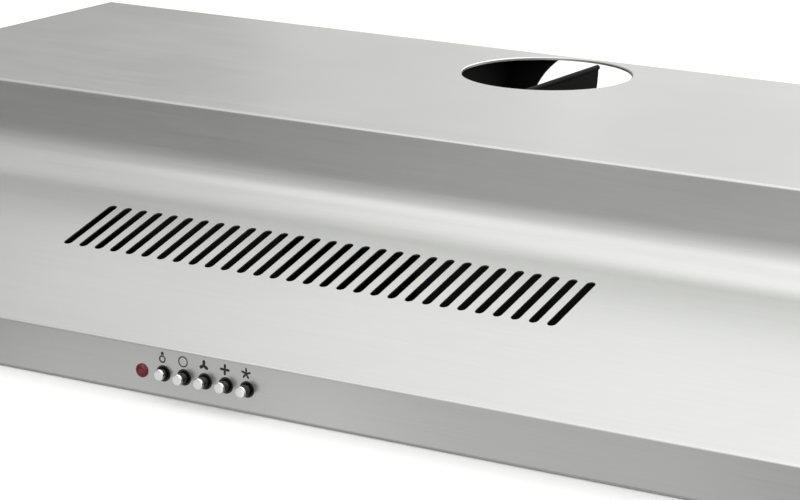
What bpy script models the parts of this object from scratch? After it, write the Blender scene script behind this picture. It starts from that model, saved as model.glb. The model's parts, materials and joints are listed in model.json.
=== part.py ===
"""Under cabinet range hood, built as its separate pieces. Metres, +Z up.

The origin is the middle of the object's footprint, at the hood's lower edge. +X runs along
the width and the controls face -Y. Depths written as "setback" count back from the lip's face.
"""
import math

import bmesh
import bpy
from mathutils import Matrix, Vector

# Overall size
WIDTH = 0.900
DEPTH = 0.500
HEIGHT = 0.145
BUTTON_PROUD = 0.0085

# Materials' thickness and the gap left between neighbouring pieces
SHEET = 0.001
WALL = 0.002
GAP = 0.0003

# Canopy outline
TOP_DEPTH = 0.306
LIP_HEIGHT = 0.0334
SLOPE = math.radians(15.15)
FOLD_RADIUS = 0.002
FILLET_RADIUS = 0.035
RETURN_DEPTH = 0.013
SIDE_FLANGE = 0.012
BACK_FLANGE = 0.020

# Openings in the canopy
DUCT_RADIUS = 0.064
DUCT_EDGE = 0.0025
SLOT_COUNT = 30
SLOT_PITCH = 0.0131
SLOT_WIDTH = 0.0065
SLOT_LENGTH = 0.059
SLOT_SETBACK = 0.126
PORT_OFFSET = 0.012
PORT_RISE = 0.090

# Controls
BUTTON_PITCH = 0.0162
BUTTON_MIDDLE = -0.0052
BUTTON_RISE = 0.0160
BUTTON_RADIUS = 0.0038
BUTTON_LENGTH = 0.024
BUTTON_TRAVEL = 0.0035
LATCHED_TRAVEL = 0.0025
COLLAR_WALL = 0.0008
BANK_HEIGHT = 0.014
BANK_DEPTH = 0.030
INDICATOR_X = -0.0545
INDICATOR_RISE = 0.0153
LENS_RADIUS = 0.0046
STEM_RADIUS = 0.0030

# Light panel and lamps
LAMP_X = 0.270
LAMP_RISE = 0.024
BULB_RADIUS = 0.0175
BULB_LENGTH = 0.086
CAP_RADIUS = 0.007
CAP_LENGTH = 0.020
HOLDER_RADIUS = 0.014
LENS_LENGTH = 0.110
LENS_WIDTH = 0.046
LENS_DEPTH = 0.007
PANEL_MARGIN = 0.017
PANEL_TAIL = 0.007
BULB_CLEARANCE = 0.0025

# Grease filters
FILTER_COUNT = 3
FILTER_GAP = 0.003
FILTER_HEIGHT = 0.010
FILTER_RAIL = 0.018
FILTER_TO_PANEL = 0.002
FILTER_HOOK = 0.012
FILTER_PACK = 0.0016
LATCH_WIDTH = 0.030
LATCH_DEPTH = 0.007
LATCH_TRAVEL = 0.005

# Blower
BLOWER_X = -0.175
BLOWER_SETBACK = 0.325
SCROLL_START = 0.084
SCROLL_GROWTH = 0.021
SCROLL_FROM = math.radians(35)
SCROLL_BASE = 0.028
SCROLL_HEIGHT = 0.072
IMPELLER_RADIUS = 0.075
IMPELLER_EDGE = 0.008
BLADE_COUNT = 18
INLET_RADIUS = 0.056
SHAFT_RADIUS = 0.004
MOTOR_RADIUS = 0.046
MOTOR_HEIGHT = 0.034
BRACKET_RADIUS = 0.060
BUSH_CIRCLE = 0.054
BUSH_HEIGHT = 0.0021
SCREW_RADIUS = 0.002
POST_CIRCLE = 0.077
POST_RADIUS = 0.007
STUD_RADIUS = 0.0023

# Air path
BOX_HALF_WIDTH = 0.073
BOX_FRONT = 0.366
BOX_BASE = 0.022
BOX_RIM = 0.008
NECK_HALF_WIDTH = 0.055
NECK_BASE = 0.028
NECK_TALLEST = 0.046
NECK_CLEARANCE = 0.0015
CHAMBER_MARGIN = 0.009
FLAP_RADIUS = 0.056
FLAP_SETBACK = 0.435
FLAP_THICKNESS = 0.0016
PIN_RADIUS = 0.0012
PIN_RISE = 0.1414
RUNNING_GAP = 0.0001
DIVERTER_SETBACK = 0.330
DIVERTER_MARGIN = 0.0025
DIVERTER_PIN = 0.0015

# Mains connection
TERMINAL_X = 0.250
TERMINAL_RISE = 0.115
TERMINAL_SIZE = (0.070, 0.036, 0.034)
GLAND_RADIUS = 0.0055
GLAND_BORE = 0.0035

# Where the above leads
LIP_Y = (BUTTON_PROUD - DEPTH) / 2
BACK_Y = LIP_Y + DEPTH
INNER_HALF = WIDTH / 2 - SHEET - GAP
FASCIA_SETBACK = DEPTH - TOP_DEPTH
CORNER_RISE = LIP_HEIGHT + FASCIA_SETBACK * math.tan(SLOPE)
CEILING = HEIGHT - SHEET - GAP
DUCT_Y = BACK_Y - DUCT_EDGE - DUCT_RADIUS
BACK_FACE = BACK_Y - SHEET - GAP
BLOWER_Y = LIP_Y + BLOWER_SETBACK
SCROLL_TOP = SCROLL_BASE + SCROLL_HEIGHT
SCROLL_EXIT = PORT_OFFSET - BOX_HALF_WIDTH - WALL - GAP - 0.006
BOX_X = SCROLL_EXIT + GAP + WALL + BOX_HALF_WIDTH
FLOOR = SHEET + GAP
BULB_UNDER_SLOPE = (LAMP_RISE + BULB_RADIUS + BULB_CLEARANCE - LIP_HEIGHT) / math.tan(SLOPE)
LAMP_SETBACK = max(PANEL_MARGIN + LENS_WIDTH / 2, BULB_UNDER_SLOPE)
PANEL_DEPTH = LAMP_SETBACK + LENS_WIDTH / 2 + PANEL_TAIL
PANEL_RISE = NECK_BASE - WALL - 0.002
CHAMBER_REACH = SLOT_LENGTH / 2 * math.cos(SLOPE) + CHAMBER_MARGIN
CHAMBER_DROP = (SHEET + GAP) / math.cos(SLOPE)
NECK_START = SLOT_SETBACK + CHAMBER_REACH - 0.001
NECK_ROOF = LIP_HEIGHT + NECK_START * math.tan(SLOPE) - CHAMBER_DROP - NECK_CLEARANCE
NECK_HEIGHT = min(NECK_TALLEST, NECK_ROOF - NECK_BASE)
FILTER_FRONT = LIP_Y + PANEL_DEPTH + FILTER_TO_PANEL
FILTER_BACK = BACK_Y - BACK_FLANGE + FILTER_HOOK
FILTER_SPAN = 2 * (WIDTH / 2 - SHEET - SIDE_FLANGE)
FILTER_WIDTH = (FILTER_SPAN - (FILTER_COUNT + 1) * FILTER_GAP) / FILTER_COUNT

# Frames whose first two axes carry a flat outline and whose third is its thickness
FLAT = Matrix.Identity(4)
FACING_X = Matrix(((0, 0, 1, 0), (1, 0, 0, 0), (0, 1, 0, 0), (0, 0, 0, 1)))
FACING_FRONT = Matrix(((1, 0, 0, 0), (0, 0, -1, 0), (0, 1, 0, 0), (0, 0, 0, 1)))
ON_SLOPE = Matrix.Rotation(SLOPE, 4, "X")
ALONG_X = Matrix.Rotation(math.pi / 2, 4, "Y")
TO_FRONT = Matrix.Rotation(math.pi / 2, 4, "X")
TO_BACK = Matrix.Rotation(-math.pi / 2, 4, "X")


def clear_scene():
    for old in list(bpy.data.objects):
        bpy.data.objects.remove(old, do_unlink=True)


def new_collection(name):
    group = bpy.data.collections.new(name)
    bpy.context.scene.collection.children.link(group)
    return group


def new_material(name, colour, roughness, metallic=0.0, alpha=1.0):
    made = bpy.data.materials.new(name)
    made.use_nodes = True
    shader = made.node_tree.nodes["Principled BSDF"]
    shader.inputs["Base Color"].default_value = (*colour, 1)
    shader.inputs["Roughness"].default_value = roughness
    shader.inputs["Metallic"].default_value = metallic
    shader.inputs["Alpha"].default_value = alpha
    return made


clear_scene()
HOOD = new_collection("range_hood")
CUTTERS = new_collection("cutters")

STAINLESS = new_material("stainless", (0.62, 0.62, 0.60), 0.32, 1.0)
ZINC = new_material("zinc_steel", (0.50, 0.51, 0.52), 0.45, 1.0)
CHROME = new_material("chrome", (0.80, 0.80, 0.80), 0.08, 1.0)
ALUMINIUM = new_material("aluminium", (0.70, 0.71, 0.72), 0.40, 1.0)
BLACK = new_material("black_plastic", (0.012, 0.012, 0.012), 0.50)
WHITE = new_material("white_plastic", (0.75, 0.74, 0.70), 0.50)
CLEAR = new_material("lamp_lens", (0.85, 0.86, 0.86), 0.35)
GLASS = new_material("bulb_glass", (0.90, 0.90, 0.88), 0.10)
RED = new_material("red_lens", (0.20, 0.010, 0.015), 0.15)
RUBBER = new_material("rubber", (0.020, 0.020, 0.020), 0.80)
MOTOR_PAINT = new_material("motor_paint", (0.06, 0.06, 0.065), 0.45, 0.3)


def own(name, mesh, paint, frame):
    """A named object of the hood."""
    made = bpy.data.objects.new(name, mesh)
    made.matrix_world = frame
    HOOD.objects.link(made)
    if not mesh.materials:
        mesh.materials.append(paint)
    return made


def circle(middle, radius, steps=32):
    across, up = middle
    turns = [2 * math.pi * step / steps for step in range(steps)]
    return [(across + radius * math.cos(turn), up + radius * math.sin(turn)) for turn in turns]


def arc(middle, radius, start, end, steps):
    across, up = middle
    turns = [start + (end - start) * step / steps for step in range(steps + 1)]
    return [(across + radius * math.cos(turn), up + radius * math.sin(turn)) for turn in turns]


def rounded_rectangle(left, right, low, high, radius, steps=4):
    quarter = math.pi / 2
    corners = ((right, high), (left, high), (left, low), (right, low))
    inward = ((-1, -1), (1, -1), (1, 1), (-1, 1))
    points = []
    for number, ((across, up), (side, rise)) in enumerate(zip(corners, inward)):
        middle = (across + side * radius, up + rise * radius)
        points += arc(middle, radius, number * quarter, (number + 1) * quarter, steps)
    return points


def stadium(across, up, width, length, steps=6):
    """A slot with round ends that runs along the second axis."""
    reach = (length - width) / 2
    top = arc((across, up + reach), width / 2, 0, math.pi, steps)
    return top + arc((across, up - reach), width / 2, math.pi, 2 * math.pi, steps)


def keyhole(across, up, head, neck, rise):
    half = math.asin(neck / head)
    start = math.pi / 2 + half
    bowl = arc((across, up), head, start, start + 2 * math.pi - 2 * half, 20)
    return bowl + arc((across, up + rise), neck, 0, math.pi, 6)


def bent_sheet(corners, radii, thickness, steps=5):
    """The section of a sheet folded at its corners, with its thickness on the path's left."""
    path = [Vector(corner) for corner in corners]
    outer = []
    inner = []

    def add(point, heading):
        left = Vector((-heading.y, heading.x))
        outer.append(point)
        inner.append(point + thickness * left)

    add(path[0], (path[1] - path[0]).normalized())
    for before, corner, after, radius in zip(path, path[1:], path[2:], radii):
        heading = (corner - before).normalized()
        leaving = (after - corner).normalized()
        turn = math.atan2(heading.x * leaving.y - heading.y * leaving.x, heading.dot(leaving))
        side = math.copysign(radius, turn)
        start = corner - heading * radius * math.tan(abs(turn) / 2)
        middle = start + side * Vector((-heading.y, heading.x))
        parts = steps * (3 if radius > 0.01 else 1)
        for step in range(parts + 1):
            angle = turn * step / parts
            now = Vector((
                heading.x * math.cos(angle) - heading.y * math.sin(angle),
                heading.x * math.sin(angle) + heading.y * math.cos(angle),
            ))
            add(middle - side * Vector((-now.y, now.x)), now)
    add(path[-1], (path[-1] - path[-2]).normalized())
    return outer, inner


def prism(name, paint, loops, thickness, frame):
    """A flat outline, with its holes, made as thick as asked about its own plane."""
    curve = bpy.data.curves.new(name, "CURVE")
    curve.dimensions = "2D"
    curve.fill_mode = "BOTH"
    curve.extrude = thickness / 2
    for loop in loops:
        spline = curve.splines.new("POLY")
        spline.points.add(len(loop) - 1)
        for point, (across, up) in zip(spline.points, loop):
            point.co = (across, up, 0, 1)
        spline.use_cyclic_u = True
    drawn = bpy.data.objects.new(name + "_outline", curve)
    bpy.context.scene.collection.objects.link(drawn)
    evaluated = drawn.evaluated_get(bpy.context.evaluated_depsgraph_get())
    mesh = bpy.data.meshes.new_from_object(evaluated)
    bpy.data.objects.remove(drawn, do_unlink=True)
    weld(mesh)
    return own(name, mesh, paint, frame)


def weld(mesh):
    edit = bmesh.new()
    edit.from_mesh(mesh)
    bmesh.ops.remove_doubles(edit, verts=edit.verts, dist=0.000001)
    bmesh.ops.recalc_face_normals(edit, faces=edit.faces)
    edit.to_mesh(mesh)
    edit.free()


def box(name, paint, low, high, bevel=0.0):
    """A block between two opposite corners."""
    low = Vector(low)
    high = Vector(high)
    mesh = bpy.data.meshes.new(name)
    edit = bmesh.new()
    bmesh.ops.create_cube(edit, size=1.0)
    bmesh.ops.scale(edit, verts=edit.verts, vec=high - low)
    edit.to_mesh(mesh)
    edit.free()
    made = own(name, mesh, paint, Matrix.Translation((low + high) / 2))
    if bevel:
        rounding = made.modifiers.new("edges", "BEVEL")
        rounding.width = bevel
        rounding.segments = 2
    return made


def turned(name, paint, profile, frame, steps=32):
    """A turned solid: the profile is (radius, height) and runs down its outer side."""
    mesh = bpy.data.meshes.new(name)
    points = [(radius, 0, height) for radius, height in profile]
    on_axis = profile[0][0] == 0
    edges = [(number, number + 1) for number in range(len(points) - 1)]
    if not on_axis:
        edges.append((len(points) - 1, 0))
    mesh.from_pydata(points, edges, [])
    made = own(name, mesh, paint, frame)
    spin = made.modifiers.new("turn", "SCREW")
    spin.axis = "Z"
    spin.steps = steps
    spin.render_steps = steps
    spin.use_merge_vertices = True
    spin.merge_threshold = 0.00001
    spin.use_smooth_shade = False
    return made


def boolean(target, tool, operation):
    step = target.modifiers.new(tool.name, "BOOLEAN")
    step.operation = operation
    step.solver = "EXACT"
    step.object = tool
    HOOD.objects.unlink(tool)
    CUTTERS.objects.link(tool)
    tool.hide_render = True
    tool.display_type = "WIRE"


def cut(target, tool):
    boolean(target, tool, "DIFFERENCE")


def join(target, tool):
    boolean(target, tool, "UNION")


def at(x, y, z):
    return Matrix.Translation((x, y, z))


def canopy_section():
    corners = (
        (DEPTH, HEIGHT),
        (FASCIA_SETBACK, HEIGHT),
        (FASCIA_SETBACK, CORNER_RISE),
        (0, LIP_HEIGHT),
        (0, 0),
        (RETURN_DEPTH, 0),
    )
    radii = (FOLD_RADIUS, FILLET_RADIUS, FOLD_RADIUS, FOLD_RADIUS)
    return bent_sheet(corners, radii, SHEET)


def post_places():
    turns = [math.radians(angle) for angle in (30, 150, 270)]
    return [
        (BLOWER_X + POST_CIRCLE * math.cos(turn), BLOWER_Y + POST_CIRCLE * math.sin(turn))
        for turn in turns
    ]


def bush_places():
    turns = [math.radians(angle) for angle in (90, 210, 330)]
    return [
        (BLOWER_X + BUSH_CIRCLE * math.cos(turn), BLOWER_Y + BUSH_CIRCLE * math.sin(turn))
        for turn in turns
    ]


def button_places():
    return [BUTTON_MIDDLE + BUTTON_PITCH * (number - 2) for number in range(5)]


def filter_places():
    step = FILTER_WIDTH + FILTER_GAP
    return [step * (number - (FILTER_COUNT - 1) / 2) for number in range(FILTER_COUNT)]


def make_canopy():
    outer, inner = canopy_section()
    section = outer + inner[::-1]
    shell = prism("canopy_shell", STAINLESS, [section], 2 * INNER_HALF, at(0, LIP_Y, 0) @ FACING_X)

    duct = prism("duct_cut", STAINLESS, [circle((0, DUCT_Y), DUCT_RADIUS, 96)], 0.01,
                 at(0, 0, HEIGHT) @ FLAT)
    cut(shell, duct)

    slot_rise = LIP_HEIGHT + SLOT_SETBACK * math.tan(SLOPE)
    middle = (SLOT_COUNT - 1) / 2
    slots = [
        stadium(SLOT_PITCH * (number - middle), 0, SLOT_WIDTH, SLOT_LENGTH)
        for number in range(SLOT_COUNT)
    ]
    slot_cut = prism("slot_cut", STAINLESS, slots, 0.012,
                     at(0, LIP_Y + SLOT_SETBACK, slot_rise) @ ON_SLOPE)
    cut(shell, slot_cut)

    collar = BUTTON_RADIUS + GAP + COLLAR_WALL + GAP
    holes = [circle((x, BUTTON_RISE), collar, 24) for x in button_places()]
    holes.append(circle((INDICATOR_X, INDICATOR_RISE), STEM_RADIUS + GAP, 24))
    cut(shell, prism("control_cut", STAINLESS, holes, 0.008, at(0, LIP_Y, 0) @ FACING_FRONT))

    studs = [circle(place, STUD_RADIUS, 12) for place in post_places()]
    length = 0.018
    join(shell, prism("studs", STAINLESS, studs, length, at(0, 0, HEIGHT - SHEET / 2 - length / 2)))


def make_side_panels():
    outer, _ = canopy_section()
    folds = outer[:-1]
    silhouette = folds + [Vector((DEPTH, 0))]
    for name, side in (("side_panel_left", -1), ("side_panel_right", 1)):
        x = side * (WIDTH - SHEET) / 2
        panel = prism(name, STAINLESS, [silhouette], SHEET, at(x, LIP_Y, 0) @ FACING_X)
        edges = sorted((side * (WIDTH - SHEET) / 2, side * (WIDTH / 2 - SHEET - SIDE_FLANGE)))
        flange = box(name + "_flange", STAINLESS,
                     (edges[0], LIP_Y + RETURN_DEPTH + GAP, 0),
                     (edges[1], BACK_Y - BACK_FLANGE - GAP, SHEET))
        join(panel, flange)


def make_back_panel():
    corners = ((DEPTH - BACK_FLANGE, 0), (DEPTH, 0), (DEPTH, CEILING))
    outer, inner = bent_sheet(corners, (FOLD_RADIUS,), SHEET)
    panel = prism("back_panel", STAINLESS, [outer + inner[::-1]], 2 * INNER_HALF,
                  at(0, LIP_Y, 0) @ FACING_X)
    holes = [
        circle((PORT_OFFSET, PORT_RISE), DUCT_RADIUS, 64),
        circle((TERMINAL_X, TERMINAL_RISE), GLAND_RADIUS + GAP, 20),
        keyhole(-0.330, 0.105, 0.0055, 0.003, 0.012),
        keyhole(0.330, 0.105, 0.0055, 0.003, 0.012),
    ]
    cut(panel, prism("port_cut", STAINLESS, holes, 0.01, at(0, BACK_Y, 0) @ FACING_FRONT))


def make_light_panel():
    corners = ((FLOOR + 0.001, FLOOR), (PANEL_DEPTH, FLOOR), (PANEL_DEPTH, PANEL_RISE))
    outer, inner = bent_sheet(corners, (FOLD_RADIUS,), SHEET)
    panel = prism("light_panel", STAINLESS, [outer + inner[::-1]], 2 * INNER_HALF - 2 * GAP,
                  at(0, LIP_Y, 0) @ FACING_X)
    half_length = LENS_LENGTH / 2 + GAP
    half_width = LENS_WIDTH / 2 + GAP
    y = LIP_Y + LAMP_SETBACK
    openings = [
        rounded_rectangle(side * LAMP_X - half_length, side * LAMP_X + half_length,
                          y - half_width, y + half_width, 0.006)
        for side in (-1, 1)
    ]
    cut(panel, prism("lamp_cut", STAINLESS, openings, 0.01, at(0, 0, FLOOR)))
    low = FLOOR + 0.0015
    slots = [
        rounded_rectangle(x - LATCH_WIDTH / 2, x + LATCH_WIDTH / 2, low, low + 0.004, 0.001, 2)
        for x in filter_places()
    ]
    cut(panel, prism("catch_cut", STAINLESS, slots, 0.006, at(0, LIP_Y + PANEL_DEPTH, 0) @ FACING_FRONT))


def make_lamps():
    y = LIP_Y + LAMP_SETBACK
    top = FLOOR + SHEET + GAP
    for name, side in (("left", -1), ("right", 1)):
        x = side * LAMP_X
        sizes = (LENS_LENGTH / 2, LENS_WIDTH / 2)
        lamp_lens("lamp_lens_" + name, x, y, sizes, top)
        facing = Matrix.Rotation(math.pi, 4, "Z") if side > 0 else Matrix.Identity(4)
        frame = at(x, y, 0) @ facing
        start = -LENS_LENGTH / 2 + 0.006
        bulb = [
            (0, start + BULB_LENGTH),
            (BULB_RADIUS * 0.28, start + BULB_LENGTH * 0.96),
            (BULB_RADIUS * 0.62, start + BULB_LENGTH * 0.84),
            (BULB_RADIUS * 0.90, start + BULB_LENGTH * 0.66),
            (BULB_RADIUS, start + BULB_LENGTH * 0.48),
            (BULB_RADIUS * 0.93, start + BULB_LENGTH * 0.30),
            (BULB_RADIUS * 0.70, start + BULB_LENGTH * 0.12),
            (CAP_RADIUS, start),
            (CAP_RADIUS, start - CAP_LENGTH),
            (0, start - CAP_LENGTH),
        ]
        along = at(0, 0, LAMP_RISE) @ ALONG_X
        turned("lamp_bulb_" + name, GLASS, bulb, frame @ along, 24)
        bore = CAP_RADIUS + GAP
        base = start - CAP_LENGTH - GAP
        holder = [
            (HOLDER_RADIUS, start - 0.002),
            (HOLDER_RADIUS, base - 0.008),
            (0.004, base - 0.008),
            (0.004, base),
            (bore, base),
            (bore, start - 0.002),
        ]
        turned("lamp_holder_" + name, WHITE, holder, frame @ along, 24)
        foot = base - 0.008 - GAP
        corners = ((foot - 0.018, top), (foot, top), (foot, LAMP_RISE + HOLDER_RADIUS))
        outer, inner = bent_sheet(corners, (FOLD_RADIUS,), SHEET)
        prism("lamp_bracket_" + name, ZINC, [outer + inner[::-1]], 0.026, frame @ FACING_FRONT)


def lamp_lens(name, x, y, sizes, top):
    """A tray that drops into the light panel and hangs by its rim."""
    half_length, half_width = sizes
    rim = 0.003
    body = prism(name, CLEAR,
                 [rounded_rectangle(-half_length, half_length, -half_width, half_width, 0.006)],
                 LENS_DEPTH, at(x, y, 0.0004 + LENS_DEPTH / 2))
    edge = rounded_rectangle(-half_length - rim, half_length + rim, -half_width - rim,
                             half_width + rim, 0.008)
    join(body, prism(name + "_rim", CLEAR, [edge], SHEET, at(x, y, top + SHEET / 2)))
    hollow = rounded_rectangle(-half_length + WALL, half_length - WALL, -half_width + WALL,
                               half_width - WALL, 0.004)
    cut(body, prism(name + "_hollow", CLEAR, [hollow], LENS_DEPTH,
                    at(x, y, 0.0004 + LENS_DEPTH / 2 + 0.0015)))
    return body


def make_controls():
    places = button_places()
    bore = BUTTON_RADIUS + GAP
    half_width = BUTTON_PITCH * 2 + 0.0085
    front = LIP_Y + SHEET + GAP
    bank = box("switch_bank", BLACK,
               (BUTTON_MIDDLE - half_width, front, BUTTON_RISE - BANK_HEIGHT / 2),
               (BUTTON_MIDDLE + half_width, front + BANK_DEPTH, BUTTON_RISE + BANK_HEIGHT / 2))
    collars = [circle((x, BUTTON_RISE), bore + COLLAR_WALL, 24) for x in places]
    reach = SHEET + GAP + 0.002
    join(bank, prism("collars", BLACK, collars, reach,
                     at(0, LIP_Y + reach / 2, 0) @ FACING_FRONT))
    bores = [circle((x, BUTTON_RISE), bore, 24) for x in places]
    depth = BUTTON_LENGTH - BUTTON_PROUD + BUTTON_TRAVEL + 0.002
    cut(bank, prism("bores", BLACK, bores, depth + 0.01,
                    at(0, LIP_Y + (depth - 0.01) / 2, 0) @ FACING_FRONT))

    names = ("button_lamp", "button_off", "button_speed_1", "button_speed_2", "button_speed_3")
    for name, x in zip(names, places):
        pressed = LATCHED_TRAVEL if name == "button_lamp" else 0
        make_button(name, x, LIP_Y - BUTTON_PROUD + pressed)

    lens = [
        (0, 0.0019),
        (LENS_RADIUS * 0.55, 0.0016),
        (LENS_RADIUS * 0.86, 0.0010),
        (LENS_RADIUS, 0.0004 + GAP),
        (LENS_RADIUS, GAP),
        (STEM_RADIUS, GAP),
        (STEM_RADIUS, -0.008),
        (0, -0.008),
    ]
    turned("indicator_lens", RED, lens, at(INDICATOR_X, LIP_Y, INDICATOR_RISE) @ TO_FRONT, 28)
    bore = STEM_RADIUS + GAP
    body = [
        (0.0052, -SHEET - GAP),
        (0.0052, -0.018),
        (0, -0.018),
        (0, -0.0083),
        (bore, -0.0083),
        (bore, -SHEET - GAP),
    ]
    turned("indicator_body", BLACK, body, at(INDICATOR_X, LIP_Y, INDICATOR_RISE) @ TO_FRONT, 24)


def make_button(name, x, tip):
    """A push button whose origin lies on its axis at its tip; it is pressed towards +Y."""
    edge = 0.0007
    profile = [
        (0, 0.0),
        (BUTTON_RADIUS * 0.55, -0.00012),
        (BUTTON_RADIUS - edge, -0.00035),
        (BUTTON_RADIUS - edge * 0.3, -0.00035 - edge * 0.3),
        (BUTTON_RADIUS, -0.00035 - edge),
        (BUTTON_RADIUS, -BUTTON_LENGTH),
        (0, -BUTTON_LENGTH),
    ]
    turned(name, CHROME, profile, at(x, tip, BUTTON_RISE) @ TO_FRONT, 28)


def scroll_radius(turn):
    """Grows from the tongue clockwise, seen from above, round to the back."""
    swept = SCROLL_FROM - turn
    whole = SCROLL_FROM + 1.5 * math.pi
    return SCROLL_START + SCROLL_GROWTH * swept / whole


def scroll_outline(offset, exit_x):
    """The scroll's wall line, moved outwards by offset and run on to exit_x."""
    tongue = BLOWER_Y + SCROLL_START * math.sin(SCROLL_FROM) - offset
    start = math.asin((tongue - BLOWER_Y) / (SCROLL_START + offset))
    end = -1.5 * math.pi
    steps = 36
    points = [(exit_x, tongue)]
    for step in range(steps + 1):
        turn = start + (end - start) * step / steps
        radius = scroll_radius(turn) + offset
        points.append((BLOWER_X + radius * math.cos(turn), BLOWER_Y + radius * math.sin(turn)))
    points.append((exit_x, BLOWER_Y + scroll_radius(end) + offset))
    return points


def make_scroll():
    middle = SCROLL_BASE + SCROLL_HEIGHT / 2
    halves = (
        ("scroll_lower", SCROLL_BASE, middle - GAP / 2, SCROLL_BASE + WALL, middle + 0.01),
        ("scroll_upper", middle + GAP / 2, SCROLL_TOP, middle - 0.01, SCROLL_TOP - WALL),
    )
    made = []
    for name, low, high, hollow_low, hollow_high in halves:
        half = prism(name, BLACK, [scroll_outline(WALL, SCROLL_EXIT)], high - low,
                     at(0, 0, (low + high) / 2))
        cut(half, prism(name + "_hollow", BLACK, [scroll_outline(0, SCROLL_EXIT + 0.01)],
                        hollow_high - hollow_low, at(0, 0, (hollow_low + hollow_high) / 2)))
        made.append(half)
    lower, upper = made
    cut(lower, prism("inlet_cut", BLACK, [circle((BLOWER_X, BLOWER_Y), INLET_RADIUS, 48)], 0.01,
                     at(0, 0, SCROLL_BASE)))

    rise = CEILING - SCROLL_TOP
    posts = [circle(place, POST_RADIUS, 20) for place in post_places()]
    join(upper, prism("posts", BLACK, posts, rise + 0.001, at(0, 0, SCROLL_TOP + rise / 2 - 0.0005)))
    holes = [circle(place, STUD_RADIUS + GAP, 16) for place in post_places()]
    cut(upper, prism("post_cut", BLACK, holes, 0.04, at(0, 0, CEILING)))
    openings = [circle(place, SCREW_RADIUS + GAP, 16) for place in bush_places()]
    openings.append(circle((BLOWER_X, BLOWER_Y), 0.012, 24))
    cut(upper, prism("motor_cut", BLACK, openings, 0.01, at(0, 0, SCROLL_TOP)))


def make_inlet_guard():
    """A flat grille of rings and four spokes under the scroll's inlet."""
    rings = (0.012, 0.023, 0.034, 0.045, 0.056)
    spoke = 0.0012
    bar = 0.0008
    loops = [circle((0, 0), INLET_RADIUS + 0.005, 48)]
    for inner, outer in zip(rings, rings[1:]):
        for quarter in range(4):
            start = quarter * math.pi / 2
            near = math.asin(spoke / (inner + bar))
            far = math.asin(spoke / (outer - bar))
            hole = arc((0, 0), outer - bar, start + far, start + math.pi / 2 - far, 5)
            hole += arc((0, 0), inner + bar, start + math.pi / 2 - near, start + near, 4)
            loops.append(hole)
    thickness = 0.0015
    prism("inlet_guard", BLACK, loops, thickness,
          at(BLOWER_X, BLOWER_Y, SCROLL_BASE - GAP - thickness / 2))


def make_impeller():
    low = SCROLL_BASE + IMPELLER_EDGE
    high = SCROLL_TOP - IMPELLER_EDGE
    axis = at(BLOWER_X, BLOWER_Y, 0)
    bore = SHAFT_RADIUS + GAP
    hub = [
        (0.014, high),
        (IMPELLER_RADIUS, high),
        (IMPELLER_RADIUS, high - WALL),
        (0.014, high - WALL),
        (0.011, high - 0.024),
        (bore, high - 0.024),
        (bore, high),
    ]
    wheel = turned("impeller", BLACK, hub, axis, 40)
    blades = []
    for number in range(BLADE_COUNT):
        blades.append(blade_outline(2 * math.pi * number / BLADE_COUNT))
    join(wheel, prism("blades", BLACK, blades, high - low - WALL,
                      axis @ at(0, 0, (low + high) / 2)))
    ring = [circle((0, 0), IMPELLER_RADIUS, 40), circle((0, 0), IMPELLER_RADIUS - 0.012, 40)]
    join(wheel, prism("shroud", BLACK, ring, WALL, axis @ at(0, 0, low + WALL / 2)))

    shaft_low = high - 0.026
    shaft_high = SCROLL_TOP + BUSH_HEIGHT + 2 * GAP + WALL + MOTOR_HEIGHT - 0.002
    shaft = [(0, shaft_high), (SHAFT_RADIUS, shaft_high), (SHAFT_RADIUS, shaft_low), (0, shaft_low)]
    turned("rotor_shaft", ZINC, shaft, axis, 20)


def blade_outline(turn):
    """One forward-curved blade: a strip of constant thickness along an arc."""
    steps = 2
    inner = []
    outer = []
    for step in range(steps + 1):
        share = step / steps
        radius = IMPELLER_RADIUS - 0.0125 + 0.0115 * share
        angle = turn - 0.10 * share * share
        spread = 0.0008 / radius
        inner.append((radius * math.cos(angle - spread), radius * math.sin(angle - spread)))
        outer.append((radius * math.cos(angle + spread), radius * math.sin(angle + spread)))
    return inner + outer[::-1]


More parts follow.
